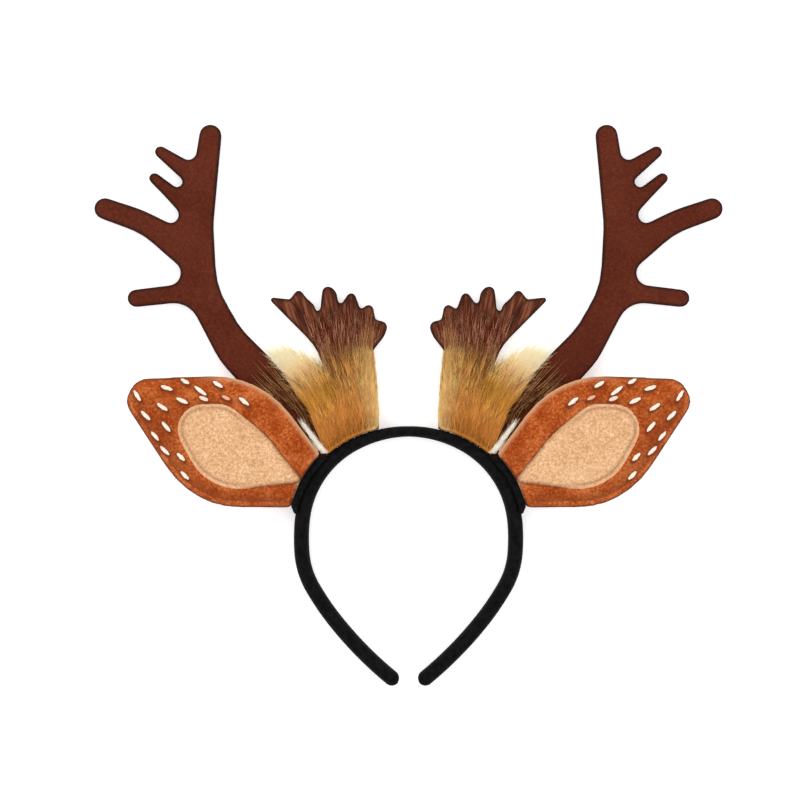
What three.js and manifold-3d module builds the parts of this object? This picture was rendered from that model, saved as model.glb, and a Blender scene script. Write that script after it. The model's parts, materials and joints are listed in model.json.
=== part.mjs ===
import * as THREE from "three";
import { mergeVertices } from "three/addons/utils/BufferGeometryUtils.js";
import Module from "manifold-3d";

// A reindeer headband lying on its back with its front up and the antlers pointing to +Y.
// Millimetres. Left and right are the sides of a viewer who looks at the front.

const wasm = await Module();
wasm.setup();

// The padded band: half its width between the centre lines, its thickness and its depth.
const BAND_RADIUS = 47.6;
const BAND_THICKNESS = 6.8;
const BAND_DEPTH = 10.4;

// The big antlers, from the foot on the band to the top tip and out to the long tine.
const ANTLER_HEIGHT = 144;
const ANTLER_SPREAD = 100.5;
const FELT_THICKNESS = 4;
const FELT_EDGE = 0.65;

// The small palm-shaped antlers between the big ones.
const PALM_HEIGHT = 68;
const PALM_SPREAD = 51.4;

// The ears with their linings, and the cloth that binds an ear to the band.
const EAR_LENGTH = 83.2;
const EAR_WIDTH = 59.2;
const EAR_FRONT = 5.6;
const EAR_BACK = 2.6;
const EAR_TWIST = 6.5;
const RECESS_DEPTH = 2.6;
const BINDING_THICKNESS = 2.4;

// The long fur round the feet of the antlers.
const FUR_REACH = 50;
const FUR_BACKING = 2.6;
const LOCK_WIDTH = 7.6;
const LOCK_THICKNESS = 3.4;

// Air between neighbouring pieces.
const GAP = 0.35;

// Bends of one half of the band from its top to its end: radius as a share of BAND_RADIUS
// and degrees of turn.
const BAND_BENDS = [
  { radius: 1.09, sweep: 30 },
  { radius: 0.908, sweep: 56 },
  { radius: 1.89, sweep: 8 },
  { radius: 0.756, sweep: 26 },
  { radius: 2.58, sweep: 9 },
  { radius: 3.59, sweep: 12.7 },
];
const BAND_RISE = 1.019 * BAND_RADIUS;

// The band is thinner over the crown: shares of its half length and of its thickness.
const BAND_SWELL = [
  { along: 0, thick: 0.69 },
  { along: 0.25, thick: 0.88 },
  { along: 0.42, thick: 1 },
  { along: 1, thick: 1 },
];

// One quarter of the band's soft section: shares of half its thickness and half its depth.
const BAND_QUARTER = [
  { out: 1, deep: 0.38 },
  { out: 0.88, deep: 0.76 },
  { out: 0.46, deep: 1 },
];

// Pins the outline of an antler runs round, from the foot up the outer side and down the
// inner one. x is a share of the spread, y and r of the height, both from the foot.
// A negative r is a crook that the outline passes on its inside.
const ANTLER_PINS = [
  { x: 0.004, y: -0.068, r: 0 },
  { x: 0.153, y: 0.414, r: 0.247 },
  { x: 0.648, y: 0.369, r: -0.08 },
  { x: 0.814, y: 0.464, r: 0.0266 },
  { x: 0.673, y: 0.5416, r: -0.0386 },
  { x: 0.965, y: 0.441, r: -0.247 },
  { x: 0.954, y: 0.74, r: 0.0321 },
  { x: 0.664, y: 0.72, r: -0.0256 },
  { x: 0.7345, y: 0.833, r: 0.017 },
  { x: 0.6345, y: 0.823, r: -0.0167 },
  { x: 0.708, y: 0.916, r: 0.0173 },
  { x: 0.584, y: 0.916, r: -0.0247 },
  { x: 0.487, y: 0.966, r: 0.034 },
  { x: 0.208, y: 0.689, r: -0.185 },
  { x: 0.009, y: 0.581, r: -0.318 },
  { x: 0.354, y: 0.111, r: 0.185 },
  { x: -0.097, y: -0.022, r: 0 },
];

// The same for a palm: its outer hollow, the pointed lobe and five round ones with the
// notches between them, and the inner neck.
const PALM_PINS = [
  { x: 0.0995, y: -0.072, r: 0 },
  { x: 0.7275, y: 0.389, r: -0.392 },
  { x: 0.653, y: 0.912, r: 0.0163 },
  { x: 0.519, y: 0.9327, r: -0.0163 },
  { x: 0.4325, y: 0.9444, r: 0.0288 },
  { x: 0.279, y: 0.8627, r: -0.0229 },
  { x: 0.1817, y: 0.964, r: 0.036 },
  { x: 0.071, y: 0.9085, r: -0.0176 },
  { x: -0.0216, y: 0.925, r: 0.0314 },
  { x: -0.11, y: 0.869, r: -0.013 },
  { x: -0.172, y: 0.8464, r: 0.0327 },
  { x: -0.2465, y: 0.795, r: -0.0144 },
  { x: -0.277, y: 0.742, r: 0.0314 },
  { x: -0.264, y: 0.523, r: -0.0654 },
  { x: -0.0995, y: -0.111, r: 0 },
];

// An ear from its root: x is a share of its length, y and r of its width.
const EAR_PINS = [
  { x: 0.027, y: -0.162, r: 0.0226 },
  { x: 0.3155, y: 0.511, r: 0.692 },
  { x: 0.834, y: 0.639, r: 0.148 },
  { x: 0.476, y: 0.098, r: 0.707 },
  { x: -0.075, y: 0.203, r: 0.0226 },
];
const LINING_PINS = [
  { x: 0.032, y: 0.041, r: 0.034 },
  { x: 0.337, y: 0.376, r: 0.417 },
  { x: 0.529, y: 0.4135, r: 0.1955 },
  { x: 0.449, y: 0.391, r: 0.222 },
  { x: 0.465, y: 0.015, r: 0.534 },
];

// Height of a cushion over its outline: shares of the way out and of the full height.
const CUSHION_RISE = [
  { out: 1, up: 0 },
  { out: 0.99, up: 0.28 },
  { out: 0.95, up: 0.58 },
  { out: 0.85, up: 0.82 },
  { out: 0.66, up: 0.94 },
  { out: 0.36, up: 0.99 },
];

// Where the pieces stand on half a band: shares of its length from the top, and how far
// outside its centre line, as shares of its thickness.
const PALM_STAND = { along: 0.168, out: 0.485 };
const ANTLER_STAND = { along: 0.24, out: 1.16 };
const EAR_STAND = { along: 0.336, out: 0.647 };
const BINDING_SPAN = { from: 0.243, to: 0.418 };
const FUR_SPAN = { from: 0.085, to: 0.258 };

// Locks of fur: where they grow on the band, their length as a share of FUR_REACH,
// degrees they turn outwards from straight up, and the layer they lie in.
const LOCKS = [
  { along: 0.096, reach: 0.66, turn: 4, layer: "front" },
  { along: 0.12, reach: 0.8, turn: 5, layer: "front" },
  { along: 0.146, reach: 0.74, turn: 8, layer: "front" },
  { along: 0.172, reach: 0.8, turn: 10, layer: "front" },
  { along: 0.195, reach: 0.74, turn: 14, layer: "front" },
  { along: 0.212, reach: 0.96, turn: 20, layer: "front" },
  { along: 0.226, reach: 1.04, turn: 25, layer: "front" },
  { along: 0.238, reach: 1, turn: 31, layer: "front" },
  { along: 0.245, reach: 0.7, turn: 31, layer: "front" },
  { along: 0.222, reach: 1.04, turn: 22, layer: "middle" },
  { along: 0.1, reach: 0.6, turn: 5, layer: "back" },
  { along: 0.14, reach: 0.66, turn: 8, layer: "back" },
  { along: 0.18, reach: 0.66, turn: 13, layer: "back" },
  { along: 0.218, reach: 0.96, turn: 21, layer: "back" },
  { along: 0.24, reach: 0.96, turn: 29, layer: "back" },
];

// Height of the felt's mid plane at its foot, and of each layer of fur over it at the root
// of a lock, half way and at its tip, as shares of the felt's thickness.
const FELT_Z = 0.53 * BAND_DEPTH;
const LAYERS = {
  front: { root: 1.15, bow: 1.35, tip: 0.65 },
  middle: { root: 0, bow: 0, tip: -0.1 },
  back: { root: -0.85, bow: -0.82, tip: -0.9 },
};

const radians = THREE.MathUtils.degToRad;

// A closed geometry as a solid that can be joined to others or cut by them.
function solid(geometry) {
  const bare = geometry.clone();
  bare.deleteAttribute("normal");
  bare.deleteAttribute("uv");
  const closed = mergeVertices(bare, 1e-4);
  return new wasm.Manifold(
    new wasm.Mesh({
      numProp: 3,
      vertProperties: closed.attributes.position.array,
      triVerts: new Uint32Array(closed.index.array),
    }),
  );
}

// The largest body of a solid as a geometry: a cut can leave crumbs beside it.
function geometryOf(whole) {
  const bodies = whole.decompose().sort((a, b) => b.volume() - a.volume());
  const cut = bodies[0].getMesh();
  const geometry = new THREE.BufferGeometry();
  geometry.setAttribute("position", new THREE.BufferAttribute(cut.vertProperties, 3));
  geometry.setIndex(new THREE.BufferAttribute(cut.triVerts, 1));
  geometry.computeVertexNormals();
  return geometry;
}

// A skin over a row of closed loops with equal numbers of points, closed by a fan at each end.
function skin(loops, start, end) {
  const around = loops[0].length;
  const corners = [];
  const face = (...points) => points.forEach((p) => corners.push(p.x, p.y, p.z));
  for (let k = 0; k < around; k++) {
    const next = (k + 1) % around;
    face(start, loops[0][next], loops[0][k]);
    for (let i = 0; i + 1 < loops.length; i++) {
      const [a, b] = [loops[i], loops[i + 1]];
      face(a[k], a[next], b[next]);
      face(a[k], b[next], b[k]);
    }
    face(end, loops.at(-1)[k], loops.at(-1)[next]);
  }
  const geometry = new THREE.BufferGeometry();
  geometry.setAttribute("position", new THREE.Float32BufferAttribute(corners, 3));
  return geometry;
}

// The outline that runs round a row of pins, straight from each one to the next.
function outline(pins, width, height, grow = 0) {
  const round = pins.map(({ x, y, r }) => ({ x: x * width, y: y * height, r: r * height + grow }));
  const count = round.length;
  const headings = round.map((a, i) => {
    const b = round[(i + 1) % count];
    const across = Math.hypot(b.x - a.x, b.y - a.y);
    return Math.atan2(b.y - a.y, b.x - a.x) + Math.asin((a.r - b.r) / across);
  });
  const points = [];
  round.forEach((pin, i) => {
    const from = headings[(i + count - 1) % count];
    const left = THREE.MathUtils.euclideanModulo(headings[i] - from, 2 * Math.PI);
    const full = pin.r >= 0 ? left : left - 2 * Math.PI;
    const turn = Math.abs(full) > 1.8 * Math.PI ? 0 : full;
    const steps = Math.max(1, Math.ceil((Math.abs(turn) * (2 + Math.sqrt(Math.abs(pin.r)))) / 1.4));
    for (let k = 0; k <= steps; k++) {
      const h = from + (turn * k) / steps;
      points.push(new THREE.Vector2(pin.x + pin.r * Math.sin(h), pin.y - pin.r * Math.cos(h)));
    }
  });
  const apart = points.filter((p, i) => p.distanceTo(points[(i + 1) % points.length]) > 0.05);
  return apart.filter((p, i) => {
    const before = p.clone().sub(apart[(i + apart.length - 1) % apart.length]);
    const after = apart[(i + 1) % apart.length].clone().sub(p);
    return Math.abs(before.cross(after)) > 1e-3 * before.length() * after.length();
  });
}

// Half a band in steps: place, outward direction and distance from the top.
const BAND_LENGTH = BAND_BENDS.reduce(
  (sum, { radius, sweep }) => sum + radius * BAND_RADIUS * radians(sweep),
  0,
);

// The band's centre line at a share of its half length, negative on the left side.
function bandAt(share) {
  let left = Math.min(Math.abs(share), 1) * BAND_LENGTH;
  let heading = 0;
  const place = new THREE.Vector2(0, BAND_RISE);
  for (const { radius, sweep } of BAND_BENDS) {
    const r = radius * BAND_RADIUS;
    const turn = Math.min(radians(sweep), left / r);
    place.x += r * (Math.sin(heading + turn) - Math.sin(heading));
    place.y += r * (Math.cos(heading + turn) - Math.cos(heading));
    heading += turn;
    left -= turn * r;
    if (left <= 1e-9) break;
  }
  const side = share < 0 ? -1 : 1;
  return {
    place: new THREE.Vector2(side * place.x, place.y),
    out: new THREE.Vector2(side * Math.sin(heading), Math.cos(heading)),
    turn: side * heading,
  };
}

// Half the band's thickness at a share of its half length.
function bandHalf(share) {
  const s = Math.abs(share);
  const i = Math.max(1, BAND_SWELL.findIndex((row) => row.along >= s));
  const [a, b] = [BAND_SWELL[i - 1], BAND_SWELL[i]];
  const t = (s - a.along) / (b.along - a.along);
  return (BAND_THICKNESS / 2) * THREE.MathUtils.lerp(a.thick, b.thick, t);
}

// A point beside the band's centre line.
function beside(at, offset, z) {
  return new THREE.Vector3(at.place.x + at.out.x * offset, at.place.y + at.out.y * offset, z);
}

// The padded band, with rounded ends. A grown copy gives its neighbours their clearance.
function band(grow = 0) {
  const quarters = [
    ...BAND_QUARTER,
    ...BAND_QUARTER.toReversed().map(({ out, deep }) => ({ out: -out, deep })),
    ...BAND_QUARTER.map(({ out, deep }) => ({ out: -out, deep: -deep })),
    ...BAND_QUARTER.toReversed().map(({ out, deep }) => ({ out, deep: -deep })),
  ];
  const tip = BAND_THICKNESS / 2 / BAND_LENGTH;
  const ends = [0.03, 0.3, 0.65].map((share) => 1 - tip * share);
  const steps = 25;
  const half = [...Array.from({ length: steps }, (_, i) => ((i + 1) / steps) * (1 - tip)), ...ends.toReversed()];
  const shares = [...half.toReversed().map((s) => -s), 0, ...half];
  const loops = shares.map((share) => {
    const at = bandAt(share);
    const rest = Math.min(1, (1 - Math.abs(share)) / tip);
    const round = Math.sqrt(1 - (1 - rest) ** 2);
    const thick = bandHalf(share) * round + grow;
    const deep = (BAND_DEPTH / 2) * (0.7 + 0.3 * round) + grow;
    return quarters.map((q) => beside(at, q.out * thick, BAND_DEPTH / 2 + q.deep * deep));
  });
  const middle = (at) => beside(at, 0, BAND_DEPTH / 2);
  return skin(loops, middle(bandAt(-1)), middle(bandAt(1)));
}

// A strip that lies on the outside of the band between two shares of its half length.
function strip({ from, to }, inner, outer, low, high, ends = 0.6) {
  const steps = 8;
  const loops = Array.from({ length: steps + 1 }, (_, i) => {
    const at = bandAt(THREE.MathUtils.lerp(from, to, i / steps));
    const edge = bandHalf(THREE.MathUtils.lerp(from, to, i / steps));
    const full = i === 0 || i === steps ? ends : 1;
    const top = edge + inner + (outer - inner) * full;
    const soft = Math.min((outer - inner) * full, (high - low) / 2) * 0.4;
    return [
      beside(at, edge + inner, low),
      beside(at, top - soft, low),
      beside(at, top, low + soft),
      beside(at, top, high - soft),
      beside(at, top - soft, high),
      beside(at, edge + inner, high),
    ];
  });
  const middle = (loop) =>
    loop.reduce((sum, p) => sum.add(p), new THREE.Vector3()).divideScalar(loop.length);
  return skin(loops, middle(loops[0]), middle(loops.at(-1)));
}

// A felt shape of even thickness with a softly rounded edge, its mid plane at z = 0.
function felt(points, thickness, soft, grow = 0, rounds = 1) {
  return new THREE.ExtrudeGeometry(new THREE.Shape(points), {
    depth: thickness + 2 * grow - 2 * soft,
    bevelThickness: soft,
    bevelSize: soft,
    bevelOffset: grow - soft,
    bevelSegments: rounds,
  }).translate(0, 0, soft - grow - thickness / 2);
}

// A cushion over an outline, its rim at z = 0.
function cushion(points, front, back) {
  const middle = points.reduce((sum, p) => sum.add(p), new THREE.Vector2()).divideScalar(points.length);
  const ring = ({ out, up }, height) =>
    points.map((p) => {
      const q = p.clone().sub(middle).multiplyScalar(out).add(middle);
      return new THREE.Vector3(q.x, q.y, up * height);
    });
  const loops = [
    ...CUSHION_RISE.slice(1).toReversed().map((row) => ring(row, -back)),
    ...CUSHION_RISE.map((row) => ring(row, front)),
  ];
  return skin(
    loops,
    new THREE.Vector3(middle.x, middle.y, -back),
    new THREE.Vector3(middle.x, middle.y, front),
  );
}

// The feet stand on the band's outside; the big antlers lean back until their tips touch
// what the band lies on.
const foot = ({ along, out }, z) => beside(bandAt(along), out * BAND_THICKNESS, z);
const antlerFoot = foot(ANTLER_STAND, FELT_Z);
const palmFoot = foot(PALM_STAND, FELT_Z);
const lean = Math.asin((FELT_Z - FELT_THICKNESS / 2) / ANTLER_HEIGHT);

function antler(grow = 0) {
  return felt(outline(ANTLER_PINS, ANTLER_SPREAD, ANTLER_HEIGHT), FELT_THICKNESS, FELT_EDGE, grow, 2)
    .rotateX(-lean)
    .translate(...antlerFoot);
}

function palm(grow = 0) {
  return felt(outline(PALM_PINS, PALM_SPREAD, PALM_HEIGHT), FELT_THICKNESS, FELT_EDGE, grow)
    .rotateX(-lean)
    .translate(...palmFoot);
}

// An ear lies over the foot of the big antler, its upper edge higher than its lower one.
const earRoot = foot(EAR_STAND, FELT_Z + 0.925 * FELT_THICKNESS);
const earAxis = new THREE.Vector3(0.9, 0.43, -0.02).normalize();

function onEar(geometry) {
  return geometry
    .applyMatrix4(new THREE.Matrix4().makeRotationAxis(earAxis, radians(EAR_TWIST)))
    .translate(...earRoot);
}

function ear(grow = 0) {
  const points = outline(EAR_PINS, EAR_LENGTH, EAR_WIDTH, grow);
  return onEar(cushion(points, EAR_FRONT + grow, EAR_BACK + grow));
}

// The lining lies in a recess of the ear's front; low is the height of the recess's floor.
const recessFloor = EAR_FRONT - RECESS_DEPTH;

function liningShape(low, high, grow = 0) {
  const points = outline(LINING_PINS, EAR_LENGTH, EAR_WIDTH);
  return onEar(felt(points, high - low, FELT_EDGE, grow).translate(0, 0, (low + high) / 2));
}

// One lock: an oval curl that swells from its root and runs out to a point.
function lock({ along, reach, turn, layer }) {
  const { root, bow, tip } = LAYERS[layer];
  const foot = beside(bandAt(along), bandHalf(along) + 0.6 * FUR_BACKING, 0);
  const up = new THREE.Vector3(Math.sin(radians(turn)), Math.cos(radians(turn)), 0);
  const across = new THREE.Vector3(up.y, -up.x, 0);
  const sides = 6;
  const swell = [
    { way: 0, full: 0.7 },
    { way: 0.22, full: 1 },
    { way: 0.5, full: 0.86 },
    { way: 0.78, full: 0.52 },
  ];
  const rise = (way) => root + (tip - root) * way + (2 * bow - root - tip) * 2 * way * (1 - way);
  const z = (way) => FELT_Z + FELT_THICKNESS * rise(way);
  const at = (way) => foot.clone().addScaledVector(up, way * reach * FUR_REACH).setZ(z(way));
  const loops = swell.map(({ way, full }) =>
    Array.from({ length: sides }, (_, k) => {
      const a = (2 * Math.PI * k) / sides;
      return at(way)
        .addScaledVector(across, -(LOCK_WIDTH / 2) * full * Math.cos(a))
        .add(new THREE.Vector3(0, 0, (LOCK_THICKNESS / 2) * full * Math.sin(a)));
    }),
  );
  return skin(loops, at(-0.02), at(1));
}

// Room round a piece is that piece grown by the gap; its neighbours are cut back to it.
const bandRoom = solid(band(GAP));
const antlerRoom = solid(antler(GAP));
const bindingOuter = GAP + BINDING_THICKNESS;
const bindingSolid = solid(
  strip(BINDING_SPAN, GAP, bindingOuter, 0.15 * BAND_DEPTH, 1.15 * BAND_DEPTH),
).subtract(antlerRoom);
const rootRoom = solid(
  strip({ from: 0.2, to: 0.5 }, -GAP, bindingOuter + GAP, -BAND_DEPTH, 3 * BAND_DEPTH, 1),
);
const antlerSolid = solid(antler()).subtract(bandRoom);
const palmSolid = solid(palm()).subtract(bandRoom).subtract(antlerRoom);
const earSolid = solid(ear())
  .subtract(bandRoom)
  .subtract(rootRoom)
  .subtract(antlerRoom)
  .subtract(solid(liningShape(recessFloor + GAP, 1.7 * EAR_FRONT, GAP)));
const liningSolid = solid(liningShape(recessFloor + GAP, 0.91 * EAR_FRONT)).subtract(rootRoom);

// The fur is its backing with all the locks, cut back from the pieces it grows round.
let furSolid = solid(strip(FUR_SPAN, GAP, GAP + FUR_BACKING, 0.115 * BAND_DEPTH, 1.115 * BAND_DEPTH));
for (const row of LOCKS) furSolid = furSolid.add(solid(lock(row)));
furSolid = furSolid
  .subtract(bandRoom)
  .subtract(antlerRoom)
  .subtract(solid(palm(GAP)))
  .subtract(solid(ear(GAP)))
  .subtract(
    solid(strip(BINDING_SPAN, 0, bindingOuter + GAP, 0.09 * BAND_DEPTH, 1.2 * BAND_DEPTH)),
  );

const cloth = (color) => new THREE.MeshStandardMaterial({ color, roughness: 0.95 });
const brown = cloth("#612a18");
const black = cloth("#1d1d20");
const orange = cloth("#b2562a");
const peach = cloth("#e8b688");
const gold = cloth("#b57434");

function piece(name, geometry, material) {
  const mesh = new THREE.Mesh(geometry, material);
  mesh.name = name;
  return mesh;
}

const half = new THREE.Group();
half.add(
  piece("antler", geometryOf(antlerSolid), brown),
  piece("palm", geometryOf(palmSolid), brown),
  piece("fur", geometryOf(furSolid), gold),
  piece("ear", geometryOf(earSolid), orange),
  piece("ear_lining", geometryOf(liningSolid), peach),
  piece("ear_binding", geometryOf(bindingSolid), black),
);

const headband = new THREE.Group();
headband.add(piece("headband", band(), black));
for (const side of ["right", "left"]) {
  const pieces = half.clone();
  pieces.scale.x = side === "left" ? -1 : 1;
  pieces.traverse((o) => {
    if (o.isMesh) o.name = `${o.name}_${side}`;
  });
  headband.add(pieces);
}

// The origin is the middle of the footprint on the floor.
const box = new THREE.Box3().setFromObject(headband, true);
const centre = box.getCenter(new THREE.Vector3());
headband.position.set(-centre.x, -centre.y, -box.min.z);

const part = new THREE.Group();
part.add(headband);
export default part;
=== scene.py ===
import json
import math
import random

import bmesh
import bpy
from mathutils import Matrix, Vector, noise
from mathutils.bvhtree import BVHTree
from mathutils.kdtree import KDTree

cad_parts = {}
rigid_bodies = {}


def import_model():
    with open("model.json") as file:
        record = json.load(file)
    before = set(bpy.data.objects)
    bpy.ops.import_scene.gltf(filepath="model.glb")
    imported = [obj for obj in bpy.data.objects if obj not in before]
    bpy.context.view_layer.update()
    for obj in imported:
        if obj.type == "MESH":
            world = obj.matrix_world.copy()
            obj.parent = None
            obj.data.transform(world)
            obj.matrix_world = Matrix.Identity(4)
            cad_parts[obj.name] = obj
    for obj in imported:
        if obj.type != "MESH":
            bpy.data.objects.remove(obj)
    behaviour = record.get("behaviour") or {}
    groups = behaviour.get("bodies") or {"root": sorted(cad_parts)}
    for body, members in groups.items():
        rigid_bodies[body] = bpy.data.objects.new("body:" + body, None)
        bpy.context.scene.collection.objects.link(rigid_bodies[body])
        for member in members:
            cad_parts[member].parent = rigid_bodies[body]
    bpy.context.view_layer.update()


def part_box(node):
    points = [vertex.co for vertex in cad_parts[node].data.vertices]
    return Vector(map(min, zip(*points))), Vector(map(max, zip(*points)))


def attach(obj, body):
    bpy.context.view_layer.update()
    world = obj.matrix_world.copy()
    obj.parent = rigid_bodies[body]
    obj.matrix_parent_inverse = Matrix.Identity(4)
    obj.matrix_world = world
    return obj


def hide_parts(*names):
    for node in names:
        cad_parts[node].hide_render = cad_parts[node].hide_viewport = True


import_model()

# The headband lies face up on a white table under even, soft light, and is looked at
# from straight above, as in the photograph.
mm = 0.001
eye = Vector((-3.8, 2.2, 0)) * mm
view_width = 355.9 * mm
middle_height = 6 * mm
lens, sensor = 150, 36
lens_height = view_width * lens / sensor + middle_height

camera = bpy.data.objects.new("camera", bpy.data.cameras.new("camera"))
camera.data.lens = lens
camera.data.sensor_width = sensor
camera.data.clip_start = 0.05
camera.data.clip_end = 20
camera.location = eye + Vector((0, 0, lens_height))
bpy.context.scene.collection.objects.link(camera)
bpy.context.scene.camera = camera


def fresh_material(name, roughness, colour, specular=0.5, sheen=0):
    """A material with its nodes, links and shader ready to be worked on."""
    material = bpy.data.materials.new(name)
    material.use_nodes = True
    nodes, links = material.node_tree.nodes, material.node_tree.links
    shader = nodes["Principled BSDF"]
    shader.inputs["Roughness"].default_value = roughness
    shader.inputs["Base Color"].default_value = colour
    shader.inputs["Specular IOR Level"].default_value = specular
    shader.inputs["Sheen Weight"].default_value = sheen
    return material, nodes, links, shader


# The table glows a little of its own, because the photograph's ground is pure white.
table_half, table_drop = 1.6, 0.2 * mm
table_glow, sky_strength = 0.45, 0.85
white = (1, 1, 1, 1)
table_bm = bmesh.new()
bmesh.ops.create_grid(table_bm, x_segments=1, y_segments=1, size=table_half)
table_mesh = bpy.data.meshes.new("table")
table_bm.to_mesh(table_mesh)
table_bm.free()
table = bpy.data.objects.new("table", table_mesh)
table.location.z = -table_drop
bpy.context.scene.collection.objects.link(table)
table_paint, nodes, links, shader = fresh_material(
    "table_paint", 0.9, (0.93, 0.93, 0.93, 1), specular=0.1
)
shader.inputs["Emission Color"].default_value = white
shader.inputs["Emission Strength"].default_value = table_glow
table_mesh.materials.append(table_paint)

sky = bpy.data.worlds.new("studio")
sky.use_nodes = True
sky.node_tree.nodes["Background"].inputs["Color"].default_value = white
sky.node_tree.nodes["Background"].inputs["Strength"].default_value = sky_strength
bpy.context.scene.world = sky
bpy.context.scene.view_settings.view_transform = "Standard"

softboxes = (
    {"name": "key_light", "at": (-0.7, 0.9, 1.3), "size": 1.2, "watts": 7.0},
    {"name": "fill_light", "at": (0.9, -0.4, 1.2), "size": 1.4, "watts": 4.0},
)
for box in softboxes:
    lamp = bpy.data.lights.new(box["name"], "AREA")
    lamp.size = box["size"]
    lamp.energy = box["watts"]
    light = bpy.data.objects.new(box["name"], lamp)
    light.location = box["at"]
    light.rotation_euler = (-light.location).to_track_quat("-Z", "Y").to_euler()
    bpy.context.scene.collection.objects.link(light)


# The headband: a sprung core with a soft pad round it, wrapped tightly in black woven
# cloth whose seam runs along the back. It is thinner over the crown than at the sides.

# The bends run from the crown to one end: radius in mm, sweep in degrees. The swell gives
# the half width at shares of the way, as shares of band_half_thick.
bends = (
    {"radius": 51.9, "sweep": 30},
    {"radius": 43.2, "sweep": 56},
    {"radius": 90.0, "sweep": 8},
    {"radius": 36.0, "sweep": 26},
    {"radius": 122.8, "sweep": 9},
    {"radius": 170.9, "sweep": 12.7},
)
crown_share = 0.69
swell = ((0, crown_share), (0.25, 0.88), (0.42, 1.0), (1, 1.0))
band_half_thick = 3.4 * mm
band_half_depth = 5.2 * mm
half_length = sum(b["radius"] * mm * math.radians(b["sweep"]) for b in bends)
crown_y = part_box("headband")[1][1] - crown_share * band_half_thick


def along_band(share):
    """The band's centre line at a share of its half length: place, heading and half width."""
    left = min(abs(share), 1) * half_length
    heading, x, y = 0.0, 0.0, crown_y
    for bend in bends:
        radius = bend["radius"] * mm
        turn = min(math.radians(bend["sweep"]), left / radius)
        x += radius * (math.sin(heading + turn) - math.sin(heading))
        y += radius * (math.cos(heading + turn) - math.cos(heading))
        heading += turn
        left -= turn * radius
        if left <= 1e-9:
            break
    for (s0, t0), (s1, t1) in zip(swell, swell[1:]):
        if abs(share) <= s1:
            thick = t0 + (t1 - t0) * (abs(share) - s0) / (s1 - s0)
            break
    side = -1 if share < 0 else 1
    return Vector((side * x, y, band_half_depth)), side * heading, thick * band_half_thick


def station(share, fullness):
    """Where a section of the band stands and how wide and deep it is there: its own x
    points outwards and its y upwards."""
    place, heading, half = along_band(share)
    out = Vector((math.sin(heading), math.cos(heading), 0))
    up = Vector((0, 0, 1))
    turn = Matrix((out, up, out.cross(up))).transposed().to_4x4()
    deep = band_half_depth * (0.7 + 0.3 * fullness)
    return Matrix.Translation(place) @ turn @ Matrix.Diagonal((half * fullness, deep, 1, 1))


def sweep(bm, ring, stations):
    """Draws a closed ring of points out from station to station; the ring's own points
    are in the units of the first station."""
    members = set(ring)
    edges = [e for e in bm.edges if all(v in members for v in e.verts)]
    bmesh.ops.transform(bm, matrix=stations[0], verts=ring)
    rings = [list(ring)]
    for before, after in zip(stations, stations[1:]):
        grown = bmesh.ops.extrude_edge_only(bm, edges=edges)["geom"]
        ring = [g for g in grown if isinstance(g, bmesh.types.BMVert)]
        edges = [g for g in grown if isinstance(g, bmesh.types.BMEdge)]
        bmesh.ops.transform(bm, matrix=after @ before.inverted(), verts=ring)
        rings.append(ring)
    return rings


def finish_piece(bm, name, slot, material, *nodes):
    """Turns a bmesh into a piece that rides with the headband and stands for CAD nodes."""
    bmesh.ops.recalc_face_normals(bm, faces=bm.faces)
    mesh = bpy.data.meshes.new(name)
    bm.to_mesh(mesh)
    bm.free()
    mesh.shade_smooth()
    mesh.materials.append(material)
    piece = bpy.data.objects.new(name, mesh)
    bpy.context.scene.collection.objects.link(piece)
    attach(piece, "root")
    if nodes:
        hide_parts(*nodes)
    return piece


ring_points = 32
squareness = 0.72
band_bm = bmesh.new()
circle = bmesh.ops.create_circle(band_bm, segments=ring_points, radius=1)["verts"]
for v in circle:
    v.co.x = math.copysign(abs(v.co.x) ** squareness, v.co.x)
    v.co.y = math.copysign(abs(v.co.y) ** squareness, v.co.y)
steps = 96
tip = band_half_thick / half_length
shares = [s / steps * (1 - tip) for s in range(-steps, steps + 1)]
ends = [1 - tip * part for part in (0.8, 0.6, 0.4, 0.22, 0.09, 0.015)]
shares = [-s for s in reversed(ends)] + shares + ends


def band_round(share):
    """How full the section is: 1 along the band and less in its rounded ends."""
    rest = min(1, (1 - abs(share)) / tip)
    return math.sqrt(1 - (1 - rest) ** 2)


rings = sweep(band_bm, circle, [station(s, band_round(s)) for s in shares])
bmesh.ops.contextual_create(band_bm, geom=[e for e in band_bm.edges if e.is_boundary])
bmesh.ops.holes_fill(band_bm, edges=[e for e in band_bm.edges if e.is_boundary], sides=0)

# The weave is laid out in mm: along the band, and round it from the seam at the back.
thread_step = 0.9
weave_uv = band_bm.loops.layers.uv.new("weave")
on_cloth = {}
for i, ring in enumerate(rings):
    for k, v in enumerate(ring):
        on_cloth[v] = (shares[i] * half_length / mm, k)
for face in band_bm.faces:
    ks = [on_cloth[loop.vert][1] for loop in face.loops]
    wraps = max(ks) - min(ks) > ring_points / 2 and len(ks) == 4
    for loop in face.loops:
        along, k = on_cloth[loop.vert]
        if wraps and k < ring_points / 2:
            k += ring_points
        loop[weave_uv].uv = (along, k * thread_step)


def srgb(red, green, blue):
    """A colour picked on a screen, as the light it stands for."""
    part = lambda c: ((c / 255 + 0.055) / 1.055) ** 2.4 if c > 10 else c / 255 / 12.92
    return (part(red), part(green), part(blue), 1.0)


def texture(nodes, links, place, kind, **settings):
    """A texture read at a place, with its settings, such as Scale=900."""
    node = nodes.new("ShaderNodeTex" + kind)
    for setting, value in settings.items():
        node.inputs[setting].default_value = value
    links.new(place, node.inputs["Vector"])
    return node


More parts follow.
